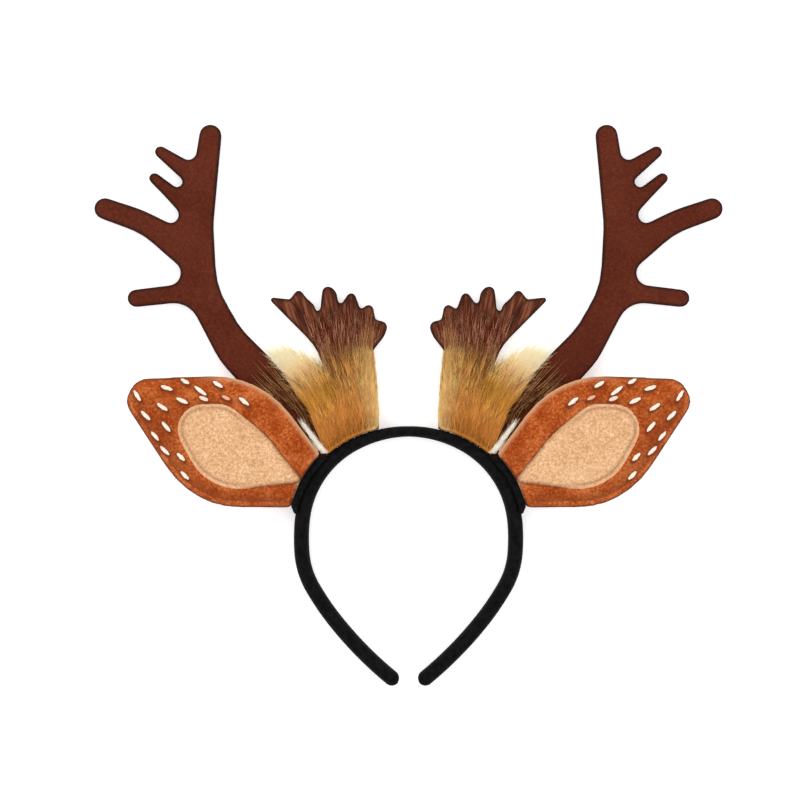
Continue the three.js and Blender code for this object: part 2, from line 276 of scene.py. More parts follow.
def ramp(nodes, links, amount, *stops):
    """A colour that an amount picks from stops of position and colour."""
    node = nodes.new("ShaderNodeValToRGB")
    elements = node.color_ramp.elements
    elements[0].position, elements[0].color = stops[0]
    elements[1].position, elements[1].color = stops[-1]
    for position, colour in stops[1:-1]:
        elements.new(position).color = colour
    links.new(amount, node.inputs["Fac"])
    return node.outputs["Color"]


def bumped(nodes, links, shader, height, distance, strength):
    """Lets a texture stand out from the surface a little."""
    bump = nodes.new("ShaderNodeBump")
    bump.inputs["Strength"].default_value = strength
    bump.inputs["Distance"].default_value = distance
    links.new(height, bump.inputs["Height"])
    links.new(bump.outputs["Normal"], shader.inputs["Normal"])


band_cloth, nodes, links, shader = fresh_material(
    "black_band_cloth", 0.85, srgb(24, 24, 25), specular=0.05, sheen=0.02
)
weave = nodes.new("ShaderNodeUVMap")
weave.uv_map = "weave"
warp = texture(nodes, links, weave.outputs["UV"], "Wave", Scale=0.55, Distortion=0.6)
weft = texture(nodes, links, weave.outputs["UV"], "Wave", Scale=0.5, Distortion=0.6)
weft.bands_direction = "Y"
cross = nodes.new("ShaderNodeMath")
cross.operation = "MULTIPLY"
links.new(warp.outputs["Fac"], cross.inputs[0])
links.new(weft.outputs["Fac"], cross.inputs[1])
space = nodes.new("ShaderNodeTexCoord").outputs["Object"]
lint = texture(nodes, links, space, "Noise", Scale=420, Detail=6)
tone = ramp(
    nodes, links, lint.outputs["Fac"], (0.3, srgb(7, 7, 8)), (0.75, srgb(25, 25, 26))
)
links.new(tone, shader.inputs["Base Color"])
bumped(nodes, links, shader, cross.outputs["Value"], 0.12 * mm, 0.5)

headband = finish_piece(band_bm, "wrapped_headband", "band_cloth", band_cloth, "headband")


# The big antlers: two layers of brown felt over a thin foam board, cut out together, with
# a dark line of painted shade along the edge all round, where it turns from the light.
def soft_copy(node, voxel):
    """A closed, evenly meshed copy of a CAD node, ready to be shaped as cloth."""
    source = bpy.data.objects[node]
    bm = bmesh.new()
    bm.from_mesh(source.data)
    bmesh.ops.remove_doubles(bm, verts=bm.verts, dist=1e-6)
    mesh = bpy.data.meshes.new(node + "_form")
    bm.to_mesh(mesh)
    bm.free()
    form = bpy.data.objects.new(node + "_form", mesh)
    bpy.context.scene.collection.objects.link(form)
    remesh = form.modifiers.new("even", "REMESH")
    remesh.mode = "VOXEL"
    remesh.voxel_size = voxel
    bpy.context.view_layer.update()
    seen = form.evaluated_get(bpy.context.evaluated_depsgraph_get())
    even = bpy.data.meshes.new_from_object(seen)
    bpy.data.objects.remove(form)
    bpy.data.meshes.remove(mesh)
    out = bmesh.new()
    out.from_mesh(even)
    bpy.data.meshes.remove(even)
    return out


def fit_to_node(bm, node):
    """Brings a shaped copy back to the size of its node: meshing and smoothing pare it down."""
    low, high = (Vector(corner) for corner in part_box(node))
    now_low = Vector([min(v.co[i] for v in bm.verts) for i in range(3)])
    now_high = Vector([max(v.co[i] for v in bm.verts) for i in range(3)])
    for v in bm.verts:
        for i in range(3):
            share = (v.co[i] - now_low[i]) / (now_high[i] - now_low[i])
            v.co[i] = low[i] + share * (high[i] - low[i])


def rim_distance(bm, steep=0.35):
    """How far each point of a flat piece lies from its edge, kept as an attribute in mm."""
    bm.normal_update()
    rim = [v for v in bm.verts if abs(v.normal.z) < steep]
    tree = KDTree(len(rim))
    for i, v in enumerate(rim):
        tree.insert((v.co.x, v.co.y, 0), i)
    tree.balance()
    layer = bm.verts.layers.float.new("from_edge")
    for v in bm.verts:
        v[layer] = tree.find((v.co.x, v.co.y, 0))[2] / mm
    return layer


def tinted(nodes, links, under, attribute, tint):
    """Lays a tint over a colour as strongly as a point's own attribute says."""
    amount = nodes.new("ShaderNodeAttribute")
    amount.attribute_name = attribute
    mix = nodes.new("ShaderNodeMix")
    mix.data_type = "RGBA"
    mix.inputs["B"].default_value = tint
    links.new(amount.outputs["Fac"], mix.inputs["Factor"])
    links.new(under, mix.inputs["A"])
    return mix.outputs["Result"]


def edged(nodes, links, under, edge, near, far):
    """Lays a darker edge colour over a colour: in full up to near mm from the edge of the
    piece, and fading to nothing at far mm. On the felt it is painted shade along the cut edge."""
    from_edge = nodes.new("ShaderNodeAttribute")
    from_edge.attribute_name = "from_edge"
    ease = nodes.new("ShaderNodeMapRange")
    ease.inputs["From Min"].default_value = near
    ease.inputs["From Max"].default_value = far
    links.new(from_edge.outputs["Fac"], ease.inputs["Value"])
    mix = nodes.new("ShaderNodeMix")
    mix.data_type = "RGBA"
    mix.inputs["A"].default_value = edge
    links.new(ease.outputs["Result"], mix.inputs["Factor"])
    links.new(under, mix.inputs["B"])
    return mix.outputs["Result"]


def fine_and_coarse(nodes, links, fine, coarse, coarse_share):
    """A fine texture with a share of a coarse one added."""
    both = nodes.new("ShaderNodeMath")
    both.operation = "MULTIPLY_ADD"
    both.inputs[1].default_value = coarse_share
    links.new(coarse.outputs["Fac"], both.inputs[0])
    links.new(fine.outputs["Fac"], both.inputs[2])
    return both.outputs["Value"]


def felt_material(name, dark, middle, light, edge, combed=False):
    """Felt: matted fibres in close tones, with painted shade along the cut edge and along
    creases, and drawn into streaks along the attribute "grain" where combed."""
    material, nodes, links, shader = fresh_material(
        name, 0.95, middle, specular=0.15, sheen=0.04
    )
    space = nodes.new("ShaderNodeTexCoord").outputs["Object"]
    fibres = texture(nodes, links, space, "Noise", Scale=900, Detail=8, Roughness=0.7)
    cloud = texture(nodes, links, space, "Noise", Scale=60, Detail=3)
    amount = fine_and_coarse(nodes, links, fibres, cloud, 0.35)
    if combed:
        grain = nodes.new("ShaderNodeAttribute")
        grain.attribute_name = "grain"
        streaks = texture(nodes, links, grain.outputs["Vector"], "Noise", Scale=1, Detail=5)
        wider = nodes.new("ShaderNodeMapRange")
        wider.inputs["From Min"].default_value = 0.34
        wider.inputs["From Max"].default_value = 0.66
        wider.inputs["To Min"].default_value = 0.45
        wider.inputs["To Max"].default_value = 0.95
        links.new(streaks.outputs["Fac"], wider.inputs["Value"])
        brushing_and_highlight = nodes.new("ShaderNodeMix")
        brushing_and_highlight.inputs["Factor"].default_value = 0.8
        links.new(amount, brushing_and_highlight.inputs["A"])
        links.new(wider.outputs["Result"], brushing_and_highlight.inputs["B"])
        amount = brushing_and_highlight.outputs["Result"]
    colour = ramp(nodes, links, amount, (0.5, dark), (0.68, middle), (0.85, light))
    # Painted shade along the cut edge, and along the creases the attribute marks.
    colour = edged(nodes, links, colour, edge, near=0.2, far=1.5)
    colour = tinted(nodes, links, colour, "painted_shade_and_tint", edge)
    links.new(colour, shader.inputs["Base Color"])
    bumped(nodes, links, shader, fibres.outputs["Fac"], 0.15 * mm, 0.6)
    return material


def bell(away, width):
    """1 in the middle, fading softly to both sides."""
    return math.exp(-((away / width) ** 2))


def cushioned(bm, layer, rise, reach, rough):
    """Lets the felt swell a little away from its edge, with the unevenness of hand-cut
    felt; the layer and the reach are in mm."""
    lumps = 90
    for v in bm.verts:
        t = min(1, v[layer] / reach)
        risen = rise * (t * (2 - t))
        uneven = noise.noise(v.co * lumps) * rough * t
        v.co.z += math.copysign(1, v.normal.z) * min(1, abs(v.normal.z) * 1.5) * risen + uneven


def eased(bm, x, y, move, reach):
    """Moves the outline a little near one place, as hand-cut felt strays from its pattern;
    everything is in mm."""
    for v in bm.verts:
        v.co += Vector(move) * mm * bell(math.hypot(v.co.x / mm - x, v.co.y / mm - y), reach)


def both_sides(bm):
    """The piece for each side of the head: it is made for the right and mirrored once."""
    other = bm.copy()
    bmesh.ops.scale(other, vec=(-1, 1, 1), verts=other.verts)
    bmesh.ops.reverse_faces(other, faces=other.faces)
    return (("left", other), ("right", bm))


antler_felt = felt_material(
    "antler_felt", srgb(76, 28, 13), srgb(92, 37, 20), srgb(106, 48, 31), srgb(38, 12, 9)
)
antler_bm = soft_copy("antler_right", 0.85 * mm)
antler_rim = rim_distance(antler_bm)
cushioned(antler_bm, antler_rim, 0.25 * mm, 5, 0.15 * mm)
fit_to_node(antler_bm, "antler_right")
eased(antler_bm, 119, 86, (-0.4, 1.0, 0), 12)
eased(antler_bm, 79.5, 42, (-0.8, 0.1, 0), 8)
for side, bm in both_sides(antler_bm):
    antler = finish_piece(bm, "felt_antler_" + side, "antler_felt", antler_felt, "antler_" + side)


# The small palm-shaped antlers: the same brown felt, cut with fingers along the top. It is
# combed up from the foot, and a line of painted shade, standing for a crease, runs down
# from each gap between two fingers.
palm_felt = felt_material(
    "palm_felt", srgb(62, 26, 15), srgb(96, 48, 29), srgb(132, 78, 52), srgb(38, 15, 11),
    combed=True,
)
palm_bm = soft_copy("palm_right", 0.6 * mm)
palm_rim = rim_distance(palm_bm)
cushioned(palm_bm, palm_rim, 0.2 * mm, 3, 0.1 * mm)
fit_to_node(palm_bm, "palm_right")
eased(palm_bm, 11.8, 30.5, (-1.5, 0, 0), 5.5)
eased(palm_bm, 32.4, 50, (-0.9, 0.1, 0), 2.8)
eased(palm_bm, 43.6, 44, (-1.2, 0.3, 0), 3.2)
palm_low, palm_high = (Vector(corner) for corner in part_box("palm_right"))
fan_centre = Vector((palm_low.x + 12.5 * mm, palm_low.y - 8 * mm, 0))
gaps_between_fingers = ((16.2, 37.6), (21.7, 43.2), (31, 44.6), (40.5, 41.6), (52.5, 46.6))
crease_length, crease_width, crease_shade = 17 * mm, 0.7 * mm, 0.8
creases = []
for x, y in gaps_between_fingers:
    off = Vector((x, y, 0)) * mm - fan_centre
    creases.append((math.atan2(off.x, off.y), off.length))
grain = palm_bm.verts.layers.float_vector.new("grain")
painted_shade = palm_bm.verts.layers.float.new("painted_shade_and_tint")
for v in palm_bm.verts:
    off = v.co - fan_centre
    angle, reach = math.atan2(off.x, off.y), off.xy.length
    v[grain] = (angle * 60, reach / (14 * mm), v.co.z / (4 * mm))
    # Painted shade along the crease from this gap, fading as it runs down.
    for crease_angle, crease_top in creases:
        wander = 0.02 * noise.noise(Vector((reach * 200, crease_angle * 9, 0)))
        beside = (angle - crease_angle + wander) * reach
        down = (crease_top - reach) / crease_length
        if -0.1 < down < 1:
            v[painted_shade] = max(v[painted_shade], crease_shade * bell(beside, crease_width) * (1 - down))
palm_tree = BVHTree.FromBMesh(palm_bm)
for side, bm in both_sides(palm_bm):
    palm = finish_piece(bm, "felt_palm_" + side, "antler_felt", palm_felt, "palm_" + side)


# The ears: two layers of orange-brown plush sewn together and lightly filled, with a
# hollow in the front that takes the lining.
filling_pressure, filling_frames = 3, 16


def filled(bm, name, cap):
    """Blows up a sewn cover like a light filling, each point held within the cap."""
    mesh = bpy.data.meshes.new(name)
    bm.to_mesh(mesh)
    bm.free()
    cover = bpy.data.objects.new(name, mesh)
    bpy.context.scene.collection.objects.link(cover)
    before = [v.co.copy() for v in mesh.vertices]
    cloth = cover.modifiers.new("filling", "CLOTH")
    cloth.settings.use_pressure = True
    cloth.settings.uniform_pressure_force = filling_pressure
    cloth.settings.effector_weights.gravity = 0
    cloth.settings.quality = 6
    cloth.settings.mass = 0.2
    cloth.settings.tension_stiffness = 25
    cloth.settings.compression_stiffness = 25
    cloth.settings.bending_stiffness = 2
    cloth.collision_settings.use_collision = False
    cloth.point_cache.frame_start = 1
    cloth.point_cache.frame_end = filling_frames
    for step in range(1, filling_frames + 1):
        bpy.context.scene.frame_set(step)
    seen = cover.evaluated_get(bpy.context.evaluated_depsgraph_get())
    after = [v.co.copy() for v in seen.to_mesh().vertices]
    seen.to_mesh_clear()
    cover.modifiers.clear()
    bpy.context.scene.frame_set(1)
    for v, old, new in zip(mesh.vertices, before, after):
        move = new - old
        if move.length > cap:
            move *= cap / move.length
        v.co = old + move
    out = bmesh.new()
    out.from_mesh(mesh)
    bpy.data.objects.remove(cover)
    bpy.data.meshes.remove(mesh)
    return out


def smoothed(bm, times):
    """Evens out the surface of a piece, as stretched cloth does."""
    for _ in range(times):
        bmesh.ops.smooth_vert(
            bm, verts=bm.verts, factor=0.5, use_axis_x=True, use_axis_y=True, use_axis_z=True
        )


def plush_material(name, dark, middle, light, bump_mm, scale, edge=None, nap_share=0.5):
    """Short plush: tufts in three close tones, turned this way and that by a share of
    coarser nap, darker along its edge where an edge colour is given, and with painted shade
    and a painted highlight laid over it where its attributes say."""
    material, nodes, links, shader = fresh_material(
        name, 0.9, middle, specular=0.1, sheen=0.15
    )
    shader.inputs["Sheen Roughness"].default_value = 0.4
    space = nodes.new("ShaderNodeTexCoord").outputs["Object"]
    tufts = texture(
        nodes, links, space, "Noise", Scale=scale, Detail=7, Roughness=0.65, Distortion=0.6
    )
    nap = texture(nodes, links, space, "Noise", Scale=scale / 8, Detail=3)
    amount = fine_and_coarse(nodes, links, tufts, nap, nap_share)
    centre, spread = 0.5 + nap_share / 2, 0.15
    colour = ramp(
        nodes, links, amount, (centre - spread, dark), (centre, middle), (centre + spread, light)
    )
    if edge is not None:
        colour = edged(nodes, links, colour, edge, near=0.1, far=1.1)
    # Painted shade, over a little mottling on the ears, and a painted highlight, as the
    # attributes say.
    colour = tinted(nodes, links, colour, "painted_shade_and_tint", srgb(118, 52, 22))
    colour = tinted(nodes, links, colour, "painted_highlight", srgb(242, 186, 138))
    links.new(colour, shader.inputs["Base Color"])
    bumped(nodes, links, shader, tufts.outputs["Fac"], bump_mm * mm, 0.8)
    return material


def limited(share):
    """A share kept between nothing and all."""
    return max(0, min(1, share))


ear_plush = plush_material(
    "ear_plush", srgb(146, 56, 10), srgb(178, 82, 30), srgb(208, 118, 62), 0.4, 900,
    edge=srgb(78, 30, 14),
)
ear_bm = filled(soft_copy("ear_right", 0.8 * mm), "ear_cover", 0.6 * mm)
smoothed(ear_bm, 3)
ear_bm.normal_update()
# The seam is pushed out all round, and most of all below on the outer side.
for v in ear_bm.verts:
    sideways = Vector((v.normal.x, v.normal.y, 0))
    outer_low = limited(v.normal.x * 2.5 + 0.1) * limited(0.6 - v.normal.y * 2)
    v.co += sideways * (0.7 + 0.8 * outer_low) * mm
smoothed(ear_bm, 2)
fit_to_node(ear_bm, "ear_right")

# Near the band the upper rim is lightened with a painted highlight where it faces the
# light, and the sides that are turned away from the light are darkened with painted shade,
# over a little mottling of the plush.
light_side = Vector((-0.55, 0.83, 0))
ear_rim = rim_distance(ear_bm)
brushing_and_highlight = ear_bm.verts.layers.float.new("painted_highlight")
shade_and_tint = ear_bm.verts.layers.float.new("painted_shade_and_tint")
for v in ear_bm.verts:
    facing = v.normal.dot(light_side)
    near_band = limited((95 * mm - v.co.x) / (20 * mm))
    rim_only = bell(v[ear_rim], 1.3) if v.normal.z > -0.3 else 0
    # Painted highlight on the rim where it faces the light.
    v[brushing_and_highlight] = 0.8 * limited(facing * 2.5) * near_band * rim_only
    # Painted shade where the front turns away from the light, with a little mottling.
    deep = max(0, -facing) if v.normal.z > 0 and v[ear_rim] > 2.5 else 0
    v[shade_and_tint] = 0.7 * min(1, deep * 2) + 0.18 * max(0, noise.noise(v.co * 55))
ear_tree = BVHTree.FromBMesh(ear_bm)
for side, bm in both_sides(ear_bm):
    ear = finish_piece(bm, "plush_ear_" + side, "ear_plush", ear_plush, "ear_" + side)


# The linings: pale peach plush pads, sewn into the hollows of the ears. Their round end
# has a rolled edge behind a seam, and their narrow end is sewn flat into the ear.
lining_plush = plush_material(
    "lining_plush", srgb(200, 146, 98), srgb(230, 179, 132), srgb(252, 210, 168), 0.5, 1000,
    nap_share=0.15,
)
lining_bm = filled(soft_copy("ear_lining_right", 0.7 * mm), "lining_cover", 0.5 * mm)
smoothed(lining_bm, 1)
lining_rim = rim_distance(lining_bm, 0.3)
brushing_and_highlight = lining_bm.verts.layers.float.new("painted_highlight")
shade_and_tint = lining_bm.verts.layers.float.new("painted_shade_and_tint")
seam, roll, edge_height = 2.1, 0.9, 0.3 * mm
for v in lining_bm.verts:
    rolled = limited((v.co.x - 66 * mm) / (12 * mm))
    from_rim = v[lining_rim]
    stitched = bell(from_rim - seam, 0.6)
    # Painted shade in the seam behind the rolled edge, and painted shadow along the rim of the
    # narrow end, where the ear's plush overlaps it; a painted highlight on the rolled edge.
    v[shade_and_tint] = 0.5 * rolled * stitched + 0.85 * (1 - rolled) * bell(from_rim, 1.1)
    v[brushing_and_highlight] = 0.45 * rolled * bell(from_rim, 1.4)
    v.co.z += edge_height * rolled * (bell(from_rim - roll, 0.8) - stitched)
for side, bm in both_sides(lining_bm):
    lining = finish_piece(
        bm, "plush_lining_" + side, "lining_plush", lining_plush, "ear_lining_" + side
    )


# The spots: short bars of white thread, embroidered on the front of each ear, where they
# draw the plush in. One lies almost hidden in it beside the lining.

# x and y say where a bar's middle lies, in mm, turn how it rises to the outer side, and
# sunk how deep the plush has swallowed it.
bars = (
    {"x": 84.3, "y": 9.1, "length": 5.3, "turn": 35},
    {"x": 98.9, "y": 10.4, "length": 4.4, "turn": 35},
    {"x": 92.0, "y": 6.3, "length": 6.7, "turn": 38},
    {"x": 107.0, "y": 7.5, "length": 5.6, "turn": 20},
    {"x": 120.1, "y": 4.1, "length": 5.6, "turn": 55},
    {"x": 72.7, "y": 1.6, "length": 5.6, "turn": 38},
    {"x": 80.7, "y": 3.2, "length": 4.6, "turn": 25, "sunk": 0.34},
    {"x": 90.5, "y": 2.8, "length": 4.4, "turn": 20, "sunk": 0.12},
    {"x": 100.1, "y": 1.9, "length": 5.6, "turn": 25},
    {"x": 108.9, "y": -0.9, "length": 5.6, "turn": 32},
    {"x": 116.4, "y": -4.6, "length": 5.6, "turn": 45},
    {"x": 107.3, "y": -9.6, "length": 5.6, "turn": 50},
    {"x": 112.3, "y": -13.7, "length": 5.3, "turn": 50},
    {"x": 108.0, "y": -20.2, "length": 5.6, "turn": 42},
    {"x": 100.8, "y": -23.0, "length": 4.9, "turn": 45},
    {"x": 99.2, "y": -31.2, "length": 4.9, "turn": 45},
)
bar_width = 1.75 * mm
thread_height = 0.45 * mm
white_thread, nodes, links, shader = fresh_material("white_thread", 0.7, srgb(250, 236, 220))
space = nodes.new("ShaderNodeTexCoord").outputs["Object"]
strands = texture(nodes, links, space, "Noise", Scale=1500, Detail=4)
tone = ramp(
    nodes, links, strands.outputs["Fac"], (0.3, srgb(238, 206, 176)), (0.55, srgb(253, 243, 230))
)
shaded = tinted(nodes, links, tone, "painted_shade_and_tint", srgb(222, 134, 84))
links.new(shaded, shader.inputs["Base Color"])


def from_above(tree, x, y):
    """Where a line straight down meets a piece, and which way it faces there."""
    return tree.ray_cast(Vector((x, y, 60 * mm)), Vector((0, 0, -1)))[:2]


bars_bm = bmesh.new()
bar_fold = bars_bm.verts.layers.float.new("painted_shade_and_tint")
for bar in bars:
    at, normal = from_above(ear_tree, bar["x"] * mm, bar["y"] * mm)
    turn = math.radians(bar["turn"])
    along = Vector((math.cos(turn), math.sin(turn), 0))
    along = (along - normal * along.dot(normal)).normalized()
    stand = Matrix((along, normal.cross(along), normal)).transposed().to_4x4()
    shape = Matrix.Diagonal((bar["length"] * mm / 2, bar_width / 2, thread_height, 1))
    sunk = bar.get("sunk", 0)
    bead = bmesh.ops.create_uvsphere(
        bars_bm, u_segments=20, v_segments=10, radius=1,
        matrix=Matrix.Translation(at + normal * (0.1 - sunk) * mm) @ stand @ shape,
    )
    for v in bead["verts"]:
        v[bar_fold] = 2 * sunk
for v in bars_bm.verts:
    stray = noise.noise(v.co * 1900), noise.noise(v.co * 1900 + Vector((7, 3, 1)))
    v.co += Vector((*stray, 0)) * 0.22 * mm
for side, bm in both_sides(bars_bm):
    finish_piece(bm, "ear_spots_" + side, "lining_plush", white_thread)

# The plush is darkened with painted shadow a little below and beside each bar, where the
# thread draws it in.
shade_width = 1.45
for side, out in (("left", -1), ("right", 1)):
    plush = bpy.data.objects["plush_ear_" + side].data
    for v, painted_shade in zip(plush.vertices, plush.attributes["painted_shade_and_tint"].data):
        if v.normal.z < 0.2:
            continue
        for bar in bars:
            off = Vector((out * v.co.x / mm - bar["x"] + 0.3, v.co.y / mm - bar["y"] + 0.8))
            off.rotate(Matrix.Rotation(math.radians(-bar["turn"]), 2))
            away = math.hypot(max(0, abs(off.x) - bar["length"] / 2 + 0.6), off.y)
            painted_shade.value = max(painted_shade.value, math.exp(-((away / shade_width) ** 4)))


# The ear bindings: black cloth wound tightly round the band and over the root of each
# ear, pressed down on the band and thin at both ends of the winding.
binding_bm = soft_copy("ear_binding_right", 0.5 * mm)
smoothed(binding_bm, 1)
marks = 400
band_line = KDTree(marks)
for k in range(marks):
    band_line.insert(along_band(k / (marks - 1))[0], k)
band_line.balance()
found = [band_line.find(v.co)[1] for v in binding_bm.verts]
first, last = min(found), max(found)
thin_end, press_depth = 2.5 * mm, 1.3 * mm
for v, k in zip(binding_bm.verts, found):
    place, heading, half = along_band(k / (marks - 1))
    out = Vector((math.sin(heading), math.cos(heading), 0))
    ride_out = (v.co - place).dot(out) - half
    from_end = min(k - first, last - k) * half_length / (marks - 1)
    tuck = 1 - min(1, from_end / thin_end)
    pressed = max(0, 1 - ride_out / (1.2 * mm)) * press_depth
    v.co -= out * (max(0, ride_out) * 0.8 * tuck ** 1.5 + pressed)
    v.co += v.normal * noise.noise(v.co * 300) * 0.3 * mm
binding_cloth = band_cloth.copy()
binding_cloth.name = "black_binding_cloth"
for side, bm in both_sides(binding_bm):
    binding = finish_piece(
        bm, "cloth_binding_" + side, "binding_cloth", binding_cloth, "ear_binding_" + side
    )


# The fur: golden long pile sewn on the band round the feet of the antlers. Its body is
# a dense mat of locks; thousands of hairs over it lie upwards and run out over the palm.

# It grows between two shares of the way from the crown to the band's end, and across says
# where between them a hair stands: 0 at the inner one, 1 at the outer one. Then come its
# width, its height at the inner edge in mm, and how many hairs each part of it has.
inner_share, outer_share = 0.088, 0.25
pile_width = 27 * mm
pile_height = 33
hair_counts = {
    "front": 7600, "back": 1700, "inner side": 1250, "palm": 3200,
    "wisp": 3400, "antler foot": 420, "white tuft": 380,
}


def blended(a, b, share):
    """A colour between two others."""
    return tuple(p + (q - p) * limited(share) for p, q in zip(a, b))


def varied(tint, k):
    """A tint made darker or lighter, as single hairs are."""
    return tuple(min(1, c * k) for c in tint[:3]) + (1,)


def pile_lean(across, height):
    """How far the pile leans out, in radians: it stands up at the root, and on the outer
    side it turns over to follow the antler."""
    bent = limited((height - 13 * mm) / (13 * mm))
    low, high = 4 + 14 * across, 6 + 38 * max(0, across) ** 1.5
    return math.radians(low + (high - low) * bent)


def pile_way(across, height):
    """The way a hair points there."""
    lean = pile_lean(across, height)
    return Vector((math.sin(lean), math.cos(lean), 0))


def pile_root(across):
    """Where a hair leaves the band."""
    place, heading, half = along_band(inner_share + (outer_share - inner_share) * across)
    return place + Vector((math.sin(heading), math.cos(heading), 0)) * (half + 0.6 * mm)


def pile_place(across, height):
    """A place on the pile, found by going height metres up along a hair from the band."""
    place, at, pace = pile_root(across), 0, 4 * mm
    while at < height:
        step = min(pace, height - at)
        place = place + pile_way(across, at + step / 2) * step
        at += step
    return place if height > 0 else place + pile_way(across, 0) * height


def pile_tint(across, height):
    """The pile's colour: golden, pale along the inner edge, paler where it stands free
    and cream where it runs out in a wisp between palm and antler."""
    low, high = srgb(216, 136, 56), srgb(238, 174, 96)
    tint = blended(low, high, height / (26 * mm))
    tint = blended(tint, srgb(255, 212, 142), 0.9 * max(0, 1 - across / 0.26))
    tint = blended(varied(tint, 0.45), tint, 0.3 + height / (2 * mm))
    if across > 0.5:
        cream = blended(srgb(255, 180, 74), srgb(255, 227, 190), (height - 29 * mm) / (16 * mm))
        tint = blended(tint, cream, (height - 16 * mm) / (10 * mm))
    return tint


fur_body, nodes, links, shader = fresh_material(
    "fur_body", 0.95, srgb(168, 104, 44), specular=0.1
)
comb = nodes.new("ShaderNodeMapping")
comb.inputs["Scale"].default_value = (1, 0.1, 1)
comb.inputs["Rotation"].default_value = (0, 0, 0.2)
links.new(nodes.new("ShaderNodeTexCoord").outputs["Object"], comb.inputs["Vector"])
streaks = texture(nodes, links, comb.outputs["Vector"], "Noise", Scale=1100, Detail=5)
shade = ramp(nodes, links, streaks.outputs["Fac"], (0.3, (0.62, 0.58, 0.5, 1)), (0.65, white))
tint = nodes.new("ShaderNodeAttribute")
tint.attribute_name = "hair_tint"
mix = nodes.new("ShaderNodeMix")
mix.data_type = "RGBA"
mix.blend_type = "MULTIPLY"
mix.inputs["Factor"].default_value = 1
links.new(tint.outputs["Color"], mix.inputs["A"])
links.new(shade, mix.inputs["B"])
links.new(mix.outputs["Result"], shader.inputs["Base Color"])
bumped(nodes, links, shader, streaks.outputs["Fac"], 0.4 * mm, 1)

mat_bm = soft_copy("fur_right", 0.8 * mm)
mat_tint = mat_bm.verts.layers.float_color.new("hair_tint")
smoothed(mat_bm, 1)
for v in mat_bm.verts:
    # The place across the pile is found in a few better and better guesses, each with the
    # lean that the whole pile has there.
    across = 0.5
    for _ in range(6):
        off = v.co - pile_root(across)
        lean = math.radians(4 + 25 * max(0, across) ** 1.2)
        sideways = off.x * math.cos(lean) - off.y * math.sin(lean)
        across = max(-0.15, min(1.15, across + sideways / pile_width))
    height = off.x * math.sin(lean) + off.y * math.cos(lean)
    wispy = limited((across - 0.45) / 0.15) * limited((height - 15 * mm) / (15 * mm))
    tucked = across if across < 0.6 else 0.6 + (across - 0.6) * 0.8
    place = pile_place(tucked, height * (0.93 - 0.2 * wispy) if height > 0 else height)
    v.co.x, v.co.y = place.x, place.y
    v[mat_tint] = (*pile_tint(across, height)[:3], 1)
    if v.co.z > 6 * mm:
        v.co.z -= (0.5 + 2.2 * wispy) * mm
mat_tree = BVHTree.FromBMesh(mat_bm)
for side, bm in both_sides(mat_bm):
    finish_piece(bm, "fur_mat_" + side, "fur_pile", fur_body, "fur_" + side)

hair_material, nodes, links, shader = fresh_material(
    "fur_hair", 0.85, srgb(181, 116, 52), specular=0.06
)
tint = nodes.new("ShaderNodeAttribute")
tint.attribute_name = "hair_tint"
links.new(tint.outputs["Color"], shader.inputs["Base Color"])


def hair_piece(hairs):
    """A piece of many hairs: one three-sided hair is copied over and over, then each
    copy is bent to its own root, direction, droop and tint."""
    bm = bmesh.new()
    bmesh.ops.create_cone(
        bm, cap_ends=True, cap_tris=False, segments=3, radius1=1, radius2=0.2, depth=1,
        matrix=Matrix.Translation((0, 0, 0.5)),
    )
    for height in (0.3, 0.65):
        bmesh.ops.bisect_plane(
            bm, geom=bm.verts[:] + bm.edges[:] + bm.faces[:], plane_co=(0, 0, height),
            plane_no=(0, 0, 1),
        )
    points = len(bm.verts)
    while len(bm.verts) < points * len(hairs):
        bmesh.ops.duplicate(bm, geom=bm.verts[:] + bm.edges[:] + bm.faces[:])
    bm.verts.ensure_lookup_table()
    bmesh.ops.delete(bm, geom=bm.verts[points * len(hairs):], context="VERTS")
    bm.verts.ensure_lookup_table()
    layer = bm.verts.layers.float_color.new("hair_tint")
    for i, v in enumerate(bm.verts):
        hair = hairs[i // points]
        t = v.co.z
        up = hair["way"]
        side = up.cross(Vector((0, 0, 1))).normalized()
        lift = side.cross(up).normalized()
        centre = hair["root"] + up * hair["length"] * t
        centre += side * hair["sway"] * t * t
        centre.z += hair["lift"] * (4 * t * (1 - t)) + hair["drop"] * t
        wide = hair["width"] * (1 - 0.4 * t)
        v.co = centre + side * v.co.x * wide + lift * v.co.y * wide
        v.co.z = max(0.3 * mm, v.co.z)
        v[layer] = (*blended(hair["low"], hair["high"], t)[:3], 1)
    return bm


def lock_shade_and_tone(across, height, rng):
    """Hairs that grow together share a tone: darker between the locks as painted shade,
    lighter on them as painted highlight, and single hairs darker or lighter at random.
    """
    tone = 1 + 0.45 * noise.noise(Vector((across * 17, height / (20 * mm), 3)))
    tone += 0.75 * noise.noise(Vector((across * 60, height / (12 * mm), 9)))
    stray = rng.random()
    if stray < 0.19:
        tone *= 0.34
    elif stray > 0.86:
        tone *= 1.45
    tone = max(0.3, tone) * rng.uniform(0.75, 1.25)
    return 1 + (tone - 1) * max(0.3, min(1, 0.3 + across / 0.2))


def surface(x, y, below):
    """The height of the fur mat or palm at a place, seen from the front."""
    hits = [from_above(tree, x, y)[0] for tree in (mat_tree, palm_tree)]
    return max([hit.z for hit in hits if hit] + [below])


